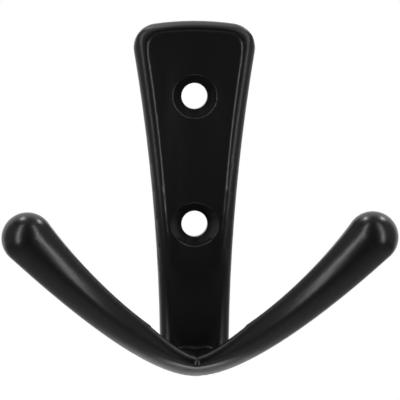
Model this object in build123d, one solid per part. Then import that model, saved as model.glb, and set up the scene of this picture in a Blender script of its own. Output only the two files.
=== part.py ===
"""Double coat hook, cast in one piece: a flared back plate with a rimmed, dished face and two
countersunk screw holes, and two arms that leave its foot in a V and end in round tips.

Millimetres. +X right, +Z up, -Y out of the wall. The origin lies on the back face, on the
symmetry line, half way between the screw holes.
"""

from build123d import *
import math
import os

# Back plate
plate_thickness = 4.6
plate_top = 26.6  # crown of the top edge, above the origin
foot_level = -41.0  # lowest point of the rounded foot
waist_half_width = 6.56  # where the sides run parallel, low down
waist_level = -39.0
side_radius = 363.0
crown_radius = 54.0
corner_radius = 4.6
foot_radius = 12.7
edge_radius = 2.2  # round of the plate's outer edge

# Dished face inside the rim
rim_width = 2.4
rim_wall_angle = 50.0  # of the rim's inner wall, measured from the plate's face
rim_wall_radius = 1.2  # where that wall runs into the floor
panel_depth = 0.8  # of the floor's centre line below the rim, at the top end
panel_end_level = -22.0  # where the floor has risen to the plate's face
panel_dish_radius = 200.0

# Screw holes
hole_spacing = 24.5
screw_hole_diameter = 5.0
countersink_diameter = 8.4
countersink_angle = 90.0

# Arms: the centre line of the right arm
root_depth = 7.9  # in front of the wall, on the symmetry plane
root_level = -38.41
root_heading = 40.0  # angle to the wall, seen from above, where the arms meet
root_rise = 8.7  # angle to the horizontal there, seen from the front
root_pull = 9.0  # how far the arm keeps that direction before it turns up
tip_reach = 31.85  # from the symmetry plane to the centre of the round tip
tip_depth = 27.3
tip_level = -12.9
tip_heading = 9.0  # angle to the wall, seen from above, at the tip
tip_rise = 48.6  # angle to the horizontal, seen from the front, at the tip
tip_pull = 19.7

# Arms: their section, from a flat-topped bar at the root to a round tip
root_width = 7.4
root_height = 5.18
root_squareness = 5.0  # exponent of the section's upper half, 2 being an ellipse
root_roundness = 2.2  # exponent of its lower half
tip_radius = 4.8
tip_flare = 3.5  # slope at which the arm's sides run into the round tip
growth = 2.03  # exponent of the arm's growth along its length
section_count = 8
section_points = 24

# Where the arms meet the plate and each other
seam_radius = 0.9  # between the plate's face and the top of the arms
valley_radius = 1.1  # between the two arms at the front, half way up
valley_fade = 0.6  # exponent of its fading to nothing above and below
valley_depth = 0.75  # share of the bar's half width beyond which the valley is rounded
valley_overlap = 0.03  # of the rounding into the arms
valley_steps = 60  # points read round the closed crease where the arms meet

wall = Plane.XZ  # its normal points out of the wall
up = Vector(0, 0, 1)


def circle_crossings(centre_a, radius_a, centre_b, radius_b):
    """The two points where two circles cross, the lower one first."""
    line = Vector(*centre_b) - Vector(*centre_a)
    along = (line.length**2 + radius_a**2 - radius_b**2) / (2 * line.length)
    across = math.sqrt(radius_a**2 - along**2)
    foot = Vector(*centre_a) + line.normalized() * along
    sideways = line.normalized().rotate(Axis.Z, 90) * across
    return sorted((foot - sideways, foot + sideways), key=lambda point: point.Y)


def plate_outline(inset):
    """The plate's outline as a face on the wall, moved inwards by inset all round."""
    side_centre = (waist_half_width + side_radius, waist_level)
    side = side_radius + inset
    crown_centre, crown = (0, plate_top - crown_radius), crown_radius - inset
    foot_centre, foot = (0, foot_level + foot_radius), foot_radius - inset
    top = circle_crossings(side_centre, side, crown_centre, crown)[1]
    bottom = circle_crossings(side_centre, side, foot_centre, foot)[0]
    middle_level = (top.Y + bottom.Y) / 2
    middle = side_centre[0] - math.sqrt(side**2 - (middle_level - waist_level) ** 2)
    right_side = ThreePointArc(top, (middle, middle_level), bottom)
    foot_edge = ThreePointArc(bottom, (0, foot_level + inset), (-bottom.X, bottom.Y))
    crown_edge = ThreePointArc((-top.X, top.Y), (0, plate_top - inset), top)
    left_side = mirror(right_side, Plane.YZ)
    outline = make_face(crown_edge + right_side + foot_edge + left_side)
    return fillet(outline.vertices().sort_by(Axis.Y)[-2:], corner_radius - inset)


def panel_plug():
    """What is cut out of the plate's front: a tapered plug whose dished floor slopes out of the plate."""
    wall_slope = math.tan(math.radians(rim_wall_angle))
    reach = 2 * panel_depth

    def outline_at(height):
        return wall.offset(plate_thickness + height) * plate_outline(rim_width - height / wall_slope)

    tapered = loft([outline_at(-reach), outline_at(reach)], ruled=True)
    floor_top = Vector(0, panel_depth - plate_thickness, plate_top)
    floor_end = Vector(0, -plate_thickness, panel_end_level)
    downwards = (floor_end - floor_top).normalized()
    trough_plane = Plane(origin=floor_top, x_dir=(1, 0, 0), z_dir=downwards)
    trough = trough_plane * Pos(0, panel_dish_radius) * Circle(panel_dish_radius)
    run_out = 2 * corner_radius  # of the plug below the line where the floor leaves the plate
    plug = tapered & extrude(trough, (floor_end - floor_top).length + run_out)
    floor = plug.faces().filter_by(GeomType.CYLINDER).sort_by(SortBy.AREA)[-1]
    return fillet(floor.edges().sort_by(Axis.Z)[1:], rim_wall_radius)


def back_plate():
    plate = extrude(wall * plate_outline(0), plate_thickness)
    front = plate.faces().sort_by(Axis.Y)[0]
    return fillet(front.edges(), edge_radius) - panel_plug()


def arm_centre_line():
    """The right arm's centre line, from the symmetry plane to the centre of its round tip."""
    start = Vector(0, -root_depth, root_level)
    end = Vector(tip_reach, -tip_depth, tip_level)
    heading, rise = math.radians(root_heading), math.radians(root_rise)
    leave = Vector(1, -math.tan(heading), math.tan(rise)).normalized()
    heading, rise = math.radians(tip_heading), math.radians(tip_rise)
    arrive = Vector(1, -math.tan(heading), math.tan(rise)).normalized()
    return Bezier(start, start + leave * root_pull, end - arrive * tip_pull, end)


def square_across(place, direction):
    """The plane square to the arm at a place, its x axis level and its y axis down."""
    return Plane(origin=place, x_dir=direction.cross(up), z_dir=direction)


def arm_section(share):
    """The arm's section at a share of its length: a rounded bar, flatter on top than below."""
    grown = share**growth
    half_width = root_width / 2 + (tip_radius - root_width / 2) * grown
    half_height = root_height / 2 + (tip_radius - root_height / 2) * grown
    points = []
    for step in range(section_points):
        angle = 2 * math.pi * step / section_points
        root_power = root_squareness if math.sin(angle) < 0 else root_roundness
        power = 2 / (root_power + (2 - root_power) * share)
        across = math.copysign(abs(math.cos(angle)) ** power, math.cos(angle))
        downwards = math.copysign(abs(math.sin(angle)) ** power, math.sin(angle))
        points.append((half_width * across, half_height * downwards))
    return make_face(Spline(points, periodic=True))


def both_arms():
    """The two arms, which cross on the symmetry plane with the point of their V in the plate."""
    line = arm_centre_line()
    start, leave = line @ 0, line % 0
    end, arrive = line @ 1, line % 1
    flare = math.radians(tip_flare)
    end_plane = square_across(end - arrive * tip_radius * math.sin(flare), arrive)
    shares = [step / section_count for step in range(section_count)]
    sections = [square_across(start - leave * root_width, leave) * arm_section(0)]
    sections += [square_across(line @ share, line % share) * arm_section(share) for share in shares]
    sections.append(end_plane * Circle(tip_radius * math.cos(flare)))
    tip = split(Pos(end) * Sphere(tip_radius), end_plane, keep=Keep.TOP)
    right = split(loft(sections) + tip, Plane.YZ, keep=Keep.TOP)
    return right + mirror(right, Plane.YZ)


def valley_rounding(arms):
    """Fills the sharp valley between the arms at the front with a hollow that fades out above and below."""
    crease = arms.edges().filter_by_position(Axis.X, -0.01, 0.01)[0]
    heading = math.radians(root_heading)
    least_depth = root_depth + valley_depth * root_width / 2 / math.cos(heading)
    along = [crease @ (step / valley_steps) for step in range(valley_steps)]
    front = sorted((point for point in along if -point.Y > least_depth), key=lambda point: point.Z)
    hollows = []
    for step, point in enumerate(front):
        radius = valley_radius * math.sin(math.pi * (step + 0.5) / len(front)) ** valley_fade
        reach = radius * math.tan(heading)
        right = Vector(
            reach * math.cos(heading) + valley_overlap * math.sin(heading),
            point.Y - reach * math.sin(heading) + valley_overlap * math.cos(heading),
            point.Z,
        )
        left = Vector(-right.X, right.Y, right.Z)
        bottom = point - Vector(0, radius / math.cos(heading) - radius)
        inside = point + Vector(0, reach)
        hollows.append(make_face([ThreePointArc(left, bottom, right), Line(right, inside), Line(inside, left)]))
    return loft(hollows)


def screw_hole():
    """A countersunk hole as the body that is cut out of the plate, on the wall and pointing out of it."""
    screw_radius, head_radius = screw_hole_diameter / 2, countersink_diameter / 2
    cone_depth = (head_radius - screw_radius) / math.tan(math.radians(countersink_angle / 2))
    mouth = plate_thickness - panel_depth
    cone = Pos(0, 0, mouth - cone_depth / 2) * Cone(screw_radius, head_radius, cone_depth)
    return [Cylinder(screw_radius, 3 * mouth), cone, Pos(0, 0, 1.5 * mouth) * Cylinder(head_radius, mouth)]


def seam(hook):
    """The two edges where the top of the arms runs into the plate's face."""
    on_face = hook.edges().filter_by_position(Axis.Y, -plate_thickness - 0.01, -plate_thickness + 0.01)
    return on_face.filter_by(GeomType.BSPLINE).sort_by(Axis.Z)[:2]


arms = both_arms()
hook = back_plate() + (arms + valley_rounding(arms))
hook = fillet(seam(hook), seam_radius)
for level in (-hole_spacing / 2, hole_spacing / 2):
    hook -= [wall * Pos(0, level) * body for body in screw_hole()]
os.makedirs("parts", exist_ok=True)
export_step(hook, "parts/coat_hook.step")
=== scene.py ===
"""Looks of the double coat hook: a satin black casting on a white ground, lit by a tall strip lamp
on each side, two small lamps above and three faint fills, seen from the front and a little above.
"""

import math

import bpy
import bmesh
from bpy.props import FloatProperty, FloatVectorProperty, PointerProperty
from bpy.types import Operator, Panel, PropertyGroup
from mathutils import Matrix, Vector
from mathutils.geometry import interpolate_bezier


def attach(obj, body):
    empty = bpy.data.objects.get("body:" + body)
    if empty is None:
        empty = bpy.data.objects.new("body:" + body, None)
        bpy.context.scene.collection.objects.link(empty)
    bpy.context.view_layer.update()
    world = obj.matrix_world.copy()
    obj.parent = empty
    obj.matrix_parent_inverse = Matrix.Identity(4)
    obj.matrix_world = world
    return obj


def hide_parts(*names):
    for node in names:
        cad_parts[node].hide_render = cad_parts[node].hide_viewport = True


bl_info = {
    "name": "Double coat hook",
    "version": (1, 0, 0),
    "blender": (4, 5, 0),
    "location": "3D View > Sidebar > Coat hook",
    "description": "Dresses the cast double coat hook and sets its studio",
    "category": "Object",
}

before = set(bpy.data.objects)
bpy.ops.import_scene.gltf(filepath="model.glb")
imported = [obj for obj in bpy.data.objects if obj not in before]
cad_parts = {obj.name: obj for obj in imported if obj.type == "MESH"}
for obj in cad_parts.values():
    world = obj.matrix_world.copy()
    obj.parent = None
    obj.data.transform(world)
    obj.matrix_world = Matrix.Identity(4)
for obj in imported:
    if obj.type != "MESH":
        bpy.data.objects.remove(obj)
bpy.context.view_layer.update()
MM = 0.001
CASTING = "coat_hook"
EDGE = "outer_edge"  # mesh attribute, 1 on the plate's round outer edge

# The casting's mesh
MERGE_DISTANCE = 0.002 * MM
SMOOTH_ANGLE = math.radians(32)  # faces that meet at less are shaded as one surface
SLACK = 0.01 * MM  # in telling what reaches no further out than the plate's face

# The plate, as it was built
FACE_DEPTH = 4.6 * MM  # of its front face, in front of the wall
PLATE_TOP, CROWN_RADIUS = 26.6 * MM, 54.0 * MM
WAIST, WAIST_LEVEL = 6.56 * MM, -39.0 * MM  # half width where the sides run parallel, low down
SIDE_RADIUS = 363.0 * MM

# The plate's round outer edge
EDGE_FOOT = -36.0 * MM  # below it, the foot is left out
EDGE_CROWN = 15.0 * MM  # above it, what faces up counts too
EDGE_FACING = 0.02  # how far a point faces outwards to count

# The rim's inner side, drawn outwards
SIDE_SLIMMING, TOP_SLIMMING = 0.57 * MM, 1.24 * MM
CORNER_SHARE = 0.5  # of each that is lost where the side meets the top
RIM_BACK = 2.6 * MM  # in front of the wall, from where the rim is slimmed
RIM_RISE = 1.5 * MM  # in front of that, where the slimming is full
RIM_END = -24.0 * MM  # lowest level of the slimming
RIM_FULL = 3.0 * MM  # inside the outline, where the slimming is full
RIM_FADE = 3.2 * MM  # inside the outline, from where it fades into the panel
SIDE_FADE_END, TOP_FADE_END = 5.6 * MM, 6.5 * MM

# The mouths of the countersinks
HOLE_LEVEL = 12.25 * MM  # of the upper screw hole, and below the origin of the lower one
MOUTH_RADIUS, MOUTH_SLACK = 4.2 * MM, 0.15 * MM
MOUTH_ANGLE = math.radians(30)  # an edge is a mouth's if its faces meet at more
MOUTH_ROUND, MOUTH_SEGMENTS = 0.12 * MM, 3

# The right arm's centre line: distance from the middle, depth in front of the wall and level,
# as two ends and two handles of a curve
ARM_LINE = tuple(
    Vector(point) * MM
    for point in (
        (0.0, 7.9, -38.41),
        (6.83, 13.63, -37.365),
        (19.03, 25.27, -27.44),
        (31.85, 27.3, -12.9),
    )
)
ARM_LINE_POINTS = 200

# The arms' root and the slopes of its wedge
ROOT_TOP = -30.0 * MM  # the arms' tops above it, 9 mm and more from the middle, are left out
ROOT_HALF_HEIGHT = 2.6 * MM
ROOT_HALF_DEPTH = 4.83 * MM
ROOT_REACH = 12.0 * MM  # from the middle, where the slopes have run out
TOP_SLOPE = 0.16  # of the root's top, down towards the front
FOOT_SLOPE = 0.25  # of its underside, up towards the front
FOOT_PIVOT = 4.0 * MM  # how far in front of the arm's back the underside keeps its level
FULL_SLOPE = 0.8  # share of the half height beyond which the slopes are full

# The paint
TONE_SPREAD = 0.2
ROUGHNESS_SPREAD = 0.03
BUMP_STRENGTH, BUMP_DISTANCE = 0.08, 0.06 * MM

# The lamps, in metres
LIT_POINT = Vector((0.0, -0.015, -0.012))  # on the hook, which the lamps face
STRIP_SIDE, STRIP_DEPTH = 0.41, -0.44
STRIP_RISE = Vector((0.0, 0.0, 0.49))  # of the strips' middle above the lit point
STRIP_WIDTH, STRIP_HEIGHT = 0.09, 1.28
TOP_WAYS = (("left_top_lamp", (-0.28, 0.27, 0.93)), ("right_top_lamp", (0.52, 0.31, 0.78)))
TOP_DISTANCE, TOP_SIZE = 0.6, 0.08
FILL_SIDE, FILL_DEPTH, FILL_LEVEL = 0.9, 0.1, 0.2
TOP_FILL_PLACE = (0.0, 0.1, 1.2)
FILL_SIZE = 1.2

# The floor and the backdrop, in metres
SHEET_HALF = 1.5
FLOOR_LEVEL, FLOOR_SHIFT = -0.55, -0.5
BACKDROP_DEPTH = 1.0
SHEET_TONE = 0.8
FLOOR_POOL = ((0.0, 0.65), (0.24, 0.45))  # centre and half size of the white seen behind the hook
BACKDROP_POOL = ((0.0, 1.0), (20.0, 20.0))
POOL_HEIGHT = 20.0
POOL_RIM = 0.4  # share of the pool over which it fades out

# The camera
SENSOR_WIDTH, LENS = 36.0, 304.2
AIM = Vector((1.154, 0.0, -7.837)) * MM


class HookFinish(PropertyGroup):
    """Finish of the casting."""

    paint_color: FloatVectorProperty(
        name="Paint colour",
        description="Colour of the black paint",
        subtype="COLOR",
        size=3,
        min=0.0,
        max=1.0,
        default=(0.0036, 0.0036, 0.0044),
    )
    paint_roughness: FloatProperty(
        name="Paint roughness",
        description="How far the satin paint spreads its highlights",
        subtype="FACTOR",
        min=0.0,
        max=1.0,
        default=0.30,
    )
    edge_roughness: FloatProperty(
        name="Edge roughness",
        description=(
            "How much rougher the paint is on the plate's round outer edge, where it ran thin"
        ),
        subtype="FACTOR",
        min=0.0,
        max=0.5,
        default=0.12,
    )
    grain_size: FloatProperty(
        name="Grain size",
        description="Size of the paint's fine grain",
        subtype="DISTANCE",
        unit="LENGTH",
        default=0.00035,
    )


class HookStudio(PropertyGroup):
    """Lamps, ground and camera."""

    side_power: FloatProperty(
        name="Side lamp power",
        description="Power of each of the two tall strip lamps",
        subtype="POWER",
        unit="POWER",
        default=3.0,
    )
    top_power: FloatProperty(
        name="Top lamp power",
        description="Power of each of the two small lamps above",
        subtype="POWER",
        unit="POWER",
        default=0.6,
    )
    fill_power: FloatProperty(
        name="Side fill power",
        description="Power of each of the two large, faint lamps at the sides",
        subtype="POWER",
        unit="POWER",
        default=1.2,
    )
    top_fill_power: FloatProperty(
        name="Top fill power",
        description="Power of the large, faint lamp above",
        subtype="POWER",
        unit="POWER",
        default=0.9,
    )
    world_level: FloatProperty(
        name="Room level",
        description="Light of the room from all sides",
        default=0.05,
    )
    camera_distance: FloatProperty(
        name="Camera distance",
        description="From the camera to the point on the wall that it looks at",
        subtype="DISTANCE",
        unit="LENGTH",
        default=0.650,
    )
    camera_yaw: FloatProperty(
        name="Camera turn",
        description="How far the camera stands to the left of straight in front",
        subtype="ANGLE",
        unit="ROTATION",
        default=math.radians(2.6),
    )
    camera_rise: FloatProperty(
        name="Camera rise",
        description="How far the camera looks down on the hook",
        subtype="ANGLE",
        unit="ROTATION",
        default=math.radians(4.0),
    )


def new_node(nodes, kind, name, **values):
    """A new shader node with its name and properties set."""
    node = nodes.new(kind)
    node.name = name
    for key, value in values.items():
        setattr(node, key, value)
    return node


def satin_grain():
    """Shader group: the fine grain and the slow unevenness of a satin paint on a casting."""
    tree = bpy.data.node_groups.new("satin_grain", "ShaderNodeTree")
    face = tree.interface
    for name, default in (("Grain scale", 2800.0), ("Wave scale", 90.0)):
        socket = face.new_socket(name=name, in_out="INPUT", socket_type="NodeSocketFloat")
        socket.default_value = default
    for name in ("Grain", "Wave", "Height"):
        face.new_socket(name=name, in_out="OUTPUT", socket_type="NodeSocketFloat")
    nodes, link = tree.nodes, tree.links.new
    group_in = nodes.new("NodeGroupInput")
    group_out = nodes.new("NodeGroupOutput")
    place = nodes.new("ShaderNodeTexCoord")
    fine = new_node(nodes, "ShaderNodeTexNoise", "fine grain")
    fine.inputs["Detail"].default_value = 3.0
    fine.inputs["Roughness"].default_value = 0.6
    slow = new_node(nodes, "ShaderNodeTexNoise", "slow waves")
    slow.inputs["Detail"].default_value = 2.0
    both = new_node(nodes, "ShaderNodeMath", "height", operation="MULTIPLY_ADD")
    both.inputs[1].default_value = 0.12
    link(place.outputs["Object"], fine.inputs["Vector"])
    link(place.outputs["Object"], slow.inputs["Vector"])
    link(group_in.outputs["Grain scale"], fine.inputs["Scale"])
    link(group_in.outputs["Wave scale"], slow.inputs["Scale"])
    link(fine.outputs["Fac"], both.inputs[0])
    link(slow.outputs["Fac"], both.inputs[2])
    link(fine.outputs["Fac"], group_out.inputs["Grain"])
    link(slow.outputs["Fac"], group_out.inputs["Wave"])
    link(both.outputs["Value"], group_out.inputs["Height"])
    return tree


def satin_black(finish):
    """Satin black paint on a zinc casting."""
    material = bpy.data.materials.new("satin_black_paint")
    material.use_nodes = True
    nodes, link = material.node_tree.nodes, material.node_tree.links.new
    nodes.clear()
    out = nodes.new("ShaderNodeOutputMaterial")
    paint = nodes.new("ShaderNodeBsdfPrincipled")
    paint.inputs["IOR"].default_value = 1.5
    paint.inputs["Metallic"].default_value = 0.0
    grain = nodes.new("ShaderNodeGroup")
    grain.node_tree = satin_grain()
    grain.inputs["Grain scale"].default_value = 1.0 / finish.grain_size
    colour = new_node(nodes, "ShaderNodeMix", "paint tone", data_type="RGBA")
    for socket, share in (("A", 1.0 - TONE_SPREAD), ("B", 1.0 + TONE_SPREAD)):
        tone = tuple(share * c for c in finish.paint_color)
        colour.inputs[socket].default_value = (*tone, 1.0)
    rough = new_node(nodes, "ShaderNodeMapRange", "paint roughness")
    rough.inputs["To Min"].default_value = finish.paint_roughness - ROUGHNESS_SPREAD
    rough.inputs["To Max"].default_value = finish.paint_roughness + ROUGHNESS_SPREAD
    edge = new_node(nodes, "ShaderNodeAttribute", "outer edge", attribute_name=EDGE)
    rougher = new_node(nodes, "ShaderNodeMath", "rougher edge", operation="MULTIPLY_ADD")
    rougher.inputs[1].default_value = finish.edge_roughness
    bump = nodes.new("ShaderNodeBump")
    bump.inputs["Strength"].default_value = BUMP_STRENGTH
    bump.inputs["Distance"].default_value = BUMP_DISTANCE
    link(grain.outputs["Wave"], colour.inputs["Factor"])
    link(grain.outputs["Grain"], rough.inputs["Value"])
    link(grain.outputs["Height"], bump.inputs["Height"])
    link(colour.outputs["Result"], paint.inputs["Base Color"])
    link(edge.outputs["Fac"], rougher.inputs[0])
    link(rough.outputs["Result"], rougher.inputs[2])
    link(rougher.outputs["Value"], paint.inputs["Roughness"])
    link(bump.outputs["Normal"], paint.inputs["Normal"])
    link(paint.outputs["BSDF"], out.inputs["Surface"])
    return material


def eased(value, low, high):
    """0 below low, 1 above high and a smooth step between them."""
    share = min(max((value - low) / (high - low), 0.0), 1.0)
    return share * share * (3.0 - 2.0 * share)


def mark_outer_edge(shape):
    """Marks the plate's round outer edge, for the paint."""
    layer = shape.verts.layers.float.new(EDGE)
    for vert in shape.verts:
        outward = vert.normal.x * math.copysign(1.0, vert.co.x)
        if vert.co.z > EDGE_CROWN:
            outward += vert.normal.z
        on_plate = -vert.co.y < FACE_DEPTH + SLACK and vert.co.z > EDGE_FOOT
        vert[layer] = 1.0 if on_plate and outward > EDGE_FACING else 0.0


def slope_root(shape):
    """Gives the arms' root its wedge: its top slopes down to the front, its underside up."""
    line = interpolate_bezier(*ARM_LINE, ARM_LINE_POINTS)
    for vert in shape.verts:
        across, depth = abs(vert.co.x), -vert.co.y
        if across >= ROOT_REACH or depth <= FACE_DEPTH or vert.co.z >= ROOT_TOP:
            continue
        centre = min(line, key=lambda point: abs(point.x - across))
        height = (vert.co.z - centre.z) / ROOT_HALF_HEIGHT
        forward = depth - centre.y + ROOT_HALF_DEPTH
        fade = 0.5 + 0.5 * math.cos(math.pi * across / ROOT_REACH)
        down = TOP_SLOPE * max(forward, 0.0) * eased(height, 0.0, FULL_SLOPE)
        raised = FOOT_SLOPE * max(forward - FOOT_PIVOT, 0.0) * eased(-height, 0.0, FULL_SLOPE)
        vert.co.z += fade * (raised - down)


def rim_share(inset, fade_end):
    """0 on the plate's outline, 1 at the rim's inner side and 0 again in the panel."""
    return eased(inset, 0.0, RIM_FULL) * (1.0 - eased(inset, RIM_FADE, fade_end))


def slim_rim(shape):
    """Draws the rim's inner side outwards, to a casting's slim rim, most of all at the top."""
    for vert in shape.verts:
        across, depth, level = abs(vert.co.x), -vert.co.y, vert.co.z
        if depth < RIM_BACK or depth > FACE_DEPTH + SLACK or level < RIM_END:
            continue
        side_inwards = math.sqrt(SIDE_RADIUS**2 - (level - WAIST_LEVEL) ** 2)
        half_width = WAIST + SIDE_RADIUS - side_inwards
        crown = PLATE_TOP - CROWN_RADIUS + math.sqrt(CROWN_RADIUS**2 - across**2)
        fade = eased(level, RIM_END, 0.5 * RIM_END) * eased(depth, RIM_BACK, RIM_BACK + RIM_RISE)
        sideways = rim_share(half_width - across, SIDE_FADE_END)
        upwards = rim_share(crown - level, TOP_FADE_END)
        outwards = fade * SIDE_SLIMMING * sideways * (1.0 - CORNER_SHARE * upwards)
        vert.co.x += outwards * math.copysign(1.0, vert.co.x)
        vert.co.z += fade * TOP_SLIMMING * upwards * (1.0 - CORNER_SHARE * sideways)


def round_countersinks(shape):
    """Breaks the sharp edge where each countersink leaves the panel, so that it catches light."""
    mouths = []
    for edge in shape.edges:
        middle = (edge.verts[0].co + edge.verts[1].co) / 2
        level = HOLE_LEVEL if middle.z > 0.0 else -HOLE_LEVEL
        reach = math.hypot(middle.x, middle.z - level)
        on_mouth = abs(reach - MOUTH_RADIUS) < MOUTH_SLACK
        if on_mouth and edge.calc_face_angle(0.0) > MOUTH_ANGLE:
            mouths.append(edge)
    bmesh.ops.bevel(
        shape,
        geom=mouths,
        offset=MOUTH_ROUND,
        offset_type="OFFSET",
        affect="EDGES",
        segments=MOUTH_SEGMENTS,
        profile=0.5,
        material=-1,
    )


class COATHOOK_OT_casting(Operator):
    """The casting: the hook's own surface, smoothed, in satin black paint"""

    bl_idname = "coathook.casting"
    bl_label = "Casting"

    def execute(self, context):
        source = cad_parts[CASTING]
        shape = bmesh.new()
        shape.from_mesh(source.data)
        bmesh.ops.remove_doubles(shape, verts=shape.verts, dist=MERGE_DISTANCE)
        shape.normal_update()
        mark_outer_edge(shape)
        slope_root(shape)
        slim_rim(shape)
        round_countersinks(shape)
        for face in shape.faces:
            face.smooth = True
        for edge in shape.edges:
            joined = len(edge.link_faces) == 2
            edge.smooth = joined and edge.calc_face_angle(0.0) < SMOOTH_ANGLE
        mesh = bpy.data.meshes.new("hook_casting")
        shape.to_mesh(mesh)
        shape.free()
        piece = bpy.data.objects.new("hook_casting", mesh)
        context.scene.collection.objects.link(piece)
        mesh.materials.clear()
        mesh.materials.append(satin_black(context.scene.hook_finish))
        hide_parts(CASTING)
        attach(piece, "root")
        return {"FINISHED"}


def eye_rays(nodes, link):
    """1 for what the camera sees straight, in gloss or through glass."""
    path = nodes.new("ShaderNodeLightPath")
    mirrored = new_node(nodes, "ShaderNodeMath", "or mirrored", operation="ADD")
    through = new_node(nodes, "ShaderNodeMath", "or through glass", operation="ADD", use_clamp=True)
    link(path.outputs["Is Camera Ray"], mirrored.inputs[0])
    link(path.outputs["Is Glossy Ray"], mirrored.inputs[1])
    link(mirrored.outputs["Value"], through.inputs[0])
    link(path.outputs["Is Transmission Ray"], through.inputs[1])
    return through.outputs["Value"]


def area_lamp(name, place, target, width, height, power):
    """A rectangular lamp that faces a target and isn't seen itself."""
    data = bpy.data.lights.new(name, "AREA")
    data.shape = "RECTANGLE"
    data.size, data.size_y = width, height
    data.energy = power
    lamp = bpy.data.objects.new(name, data)
    bpy.context.scene.collection.objects.link(lamp)
    lamp.location = place
    lamp.visible_camera = False
    lamp.rotation_mode = "QUATERNION"
    lamp.rotation_quaternion = (Vector(target) - Vector(place)).to_track_quat("-Z", "Y")


class COATHOOK_OT_studio(Operator):
    """White ground, lamps, room light and camera"""

    bl_idname = "coathook.studio"
    bl_label = "Studio"

    def execute(self, context):
        scene = context.scene
        studio = scene.hook_studio
        self.lamps(studio)
        self.ground(scene)
        self.backdrop(scene)
        self.room(scene, studio)
        self.camera(scene, studio)
        scene.view_settings.view_transform = "Standard"
        return {"FINISHED"}

    def lamps(self, studio):
        """Two tall strips that stand upright at the sides, two small lamps above, and the fills."""
        for side, name in ((-1, "left_strip_lamp"), (1, "right_strip_lamp")):
            level = Vector((side * STRIP_SIDE, STRIP_DEPTH, LIT_POINT.z))
            place, target = level + STRIP_RISE, level.lerp(LIT_POINT, 0.5) + STRIP_RISE
            area_lamp(name, place, target, STRIP_WIDTH, STRIP_HEIGHT, studio.side_power)
        for name, way in TOP_WAYS:
            place = LIT_POINT + TOP_DISTANCE * Vector(way)
            area_lamp(name, place, LIT_POINT, TOP_SIZE, TOP_SIZE, studio.top_power)
        for side, name in ((-1, "left_fill"), (1, "right_fill")):
            place = (side * FILL_SIDE, FILL_DEPTH, FILL_LEVEL)
            area_lamp(name, place, LIT_POINT, FILL_SIZE, FILL_SIZE, studio.fill_power)
        power = studio.top_fill_power
        area_lamp("top_fill", TOP_FILL_PLACE, LIT_POINT, FILL_SIZE, FILL_SIZE, power)

    def ground(self, scene):
        """A pale floor under the hook, with a pool of plain white behind it."""
        shape = bmesh.new()
        bmesh.ops.create_grid(shape, x_segments=1, y_segments=1, size=SHEET_HALF)
        bmesh.ops.translate(shape, verts=shape.verts, vec=(0.0, FLOOR_SHIFT, FLOOR_LEVEL))
        self.stage_sheet(scene, shape, "floor", *FLOOR_POOL)

    def backdrop(self, scene):
        """A white sheet that stands on the floor, far behind the hook."""
        shape = bmesh.new()
        bmesh.ops.create_grid(shape, x_segments=1, y_segments=1, size=SHEET_HALF)
        upright = Matrix.Rotation(math.radians(90), 3, "X")
        bmesh.ops.rotate(shape, verts=shape.verts, matrix=upright)
        place = (0.0, BACKDROP_DEPTH, FLOOR_LEVEL + SHEET_HALF)
        bmesh.ops.translate(shape, verts=shape.verts, vec=place)
        self.stage_sheet(scene, shape, "backdrop", *BACKDROP_POOL)

    def stage_sheet(self, scene, shape, name, pool_centre, pool_size):
        """A sheet of the stage: matt and pale, with an oval pool of white, clear from behind."""
        mesh = bpy.data.meshes.new(name)
        shape.to_mesh(mesh)
        shape.free()
        sheet = bpy.data.objects.new(name, mesh)
        scene.collection.objects.link(sheet)
        material = bpy.data.materials.new("pale_" + name)
        material.cycles.emission_sampling = "NONE"
        material.use_nodes = True
        nodes, link = material.node_tree.nodes, material.node_tree.links.new
        nodes.clear()
        out = nodes.new("ShaderNodeOutputMaterial")
        mix = nodes.new("ShaderNodeMixShader")
        matt = nodes.new("ShaderNodeBsdfDiffuse")
        matt.inputs["Color"].default_value = (SHEET_TONE, SHEET_TONE, SHEET_TONE, 1.0)
        white = nodes.new("ShaderNodeEmission")
        place = nodes.new("ShaderNodeTexCoord")
        pool = new_node(nodes, "ShaderNodeMapping", "pool", vector_type="TEXTURE")
        pool.inputs["Location"].default_value = (*pool_centre, 0.0)
        pool.inputs["Scale"].default_value = (*pool_size, POOL_HEIGHT)
        inside = new_node(
            nodes, "ShaderNodeTexGradient", "inside the pool", gradient_type="SPHERICAL"
        )
        fade = new_node(
            nodes, "ShaderNodeMapRange", "edge of the pool", interpolation_type="SMOOTHSTEP"
        )
        fade.inputs["From Max"].default_value = POOL_RIM
        seen = new_node(nodes, "ShaderNodeMath", "pool as it is seen", operation="MULTIPLY")
        pale = new_node(
            nodes, "ShaderNodeMath", "pale to the camera", operation="MULTIPLY_ADD", use_clamp=True
        )
        pale.inputs[1].default_value = SHEET_TONE
        path = nodes.new("ShaderNodeLightPath")
        side = nodes.new("ShaderNodeNewGeometry")
        clear = nodes.new("ShaderNodeBsdfTransparent")
        one_sided = nodes.new("ShaderNodeMixShader")
        link(place.outputs["Object"], pool.inputs["Vector"])
        link(pool.outputs["Vector"], inside.inputs["Vector"])
        link(inside.outputs["Fac"], fade.inputs["Value"])
        link(fade.outputs["Result"], seen.inputs[0])
        link(eye_rays(nodes, link), seen.inputs[1])
        link(path.outputs["Is Camera Ray"], pale.inputs[0])
        link(seen.outputs["Value"], pale.inputs[2])
        link(pale.outputs["Value"], mix.inputs["Fac"])
        link(matt.outputs["BSDF"], mix.inputs[1])
        link(white.outputs["Emission"], mix.inputs[2])
        link(side.outputs["Backfacing"], one_sided.inputs["Fac"])
        link(mix.outputs["Shader"], one_sided.inputs[1])
        link(clear.outputs["BSDF"], one_sided.inputs[2])
        link(one_sided.outputs["Shader"], out.inputs["Surface"])
        mesh.materials.append(material)

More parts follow.
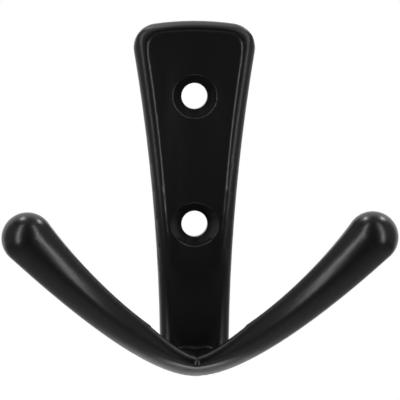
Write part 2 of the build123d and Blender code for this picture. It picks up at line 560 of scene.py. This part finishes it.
    def room(self, scene, studio):
        """Even room light, seen by the camera as white."""
        world = bpy.data.worlds.new("white_room")
        scene.world = world
        world.cycles.sampling_method = "NONE"
        world.use_nodes = True
        nodes, link = world.node_tree.nodes, world.node_tree.links.new
        nodes.clear()
        out = nodes.new("ShaderNodeOutputWorld")
        mix = nodes.new("ShaderNodeMixShader")
        path = nodes.new("ShaderNodeLightPath")
        room = nodes.new("ShaderNodeBackground")
        room.inputs["Strength"].default_value = studio.world_level
        white = nodes.new("ShaderNodeBackground")
        for background in (room, white):
            background.inputs["Color"].default_value = (1.0, 1.0, 1.0, 1.0)
        link(path.outputs["Is Camera Ray"], mix.inputs["Fac"])
        link(room.outputs["Background"], mix.inputs[1])
        link(white.outputs["Background"], mix.inputs[2])
        link(mix.outputs["Shader"], out.inputs["Surface"])

    def camera(self, scene, studio):
        """The camera at the photograph's viewing angle."""
        data = bpy.data.cameras.new("camera")
        data.sensor_width, data.lens = SENSOR_WIDTH, LENS
        data.clip_start, data.clip_end = 0.01, 20.0
        camera = bpy.data.objects.new("camera", data)
        scene.collection.objects.link(camera)
        turn, rise = studio.camera_yaw, studio.camera_rise
        level = math.cos(rise)
        back = Vector((-math.sin(turn) * level, -math.cos(turn) * level, math.sin(rise)))
        camera.location = AIM + back * studio.camera_distance
        camera.rotation_mode = "QUATERNION"
        camera.rotation_quaternion = (-back).to_track_quat("-Z", "Y")
        scene.camera = camera


class COATHOOK_PT_steps(Panel):
    """The steps that dress the hook, in the 3D view's sidebar."""

    bl_idname = "COATHOOK_PT_steps"
    bl_label = "Coat hook"
    bl_space_type = "VIEW_3D"
    bl_region_type = "UI"
    bl_category = "Coat hook"

    def draw(self, context):
        column = self.layout.column()
        for settings in (context.scene.hook_finish, context.scene.hook_studio):
            for name in settings.__annotations__:
                column.prop(settings, name)
        for operator in STEPS:
            column.operator(operator.bl_idname)


STEPS = (COATHOOK_OT_casting, COATHOOK_OT_studio)
CLASSES = (HookFinish, HookStudio, *STEPS, COATHOOK_PT_steps)


def register():
    for cls in CLASSES:
        bpy.utils.register_class(cls)
    bpy.types.Scene.hook_finish = PointerProperty(type=HookFinish)
    bpy.types.Scene.hook_studio = PointerProperty(type=HookStudio)


def unregister():
    del bpy.types.Scene.hook_studio
    del bpy.types.Scene.hook_finish
    for cls in reversed(CLASSES):
        bpy.utils.unregister_class(cls)


def main():
    register()
    bpy.ops.coathook.casting()
    bpy.ops.coathook.studio()
    bpy.context.view_layer.update()


if __name__ == "__main__":
    main()
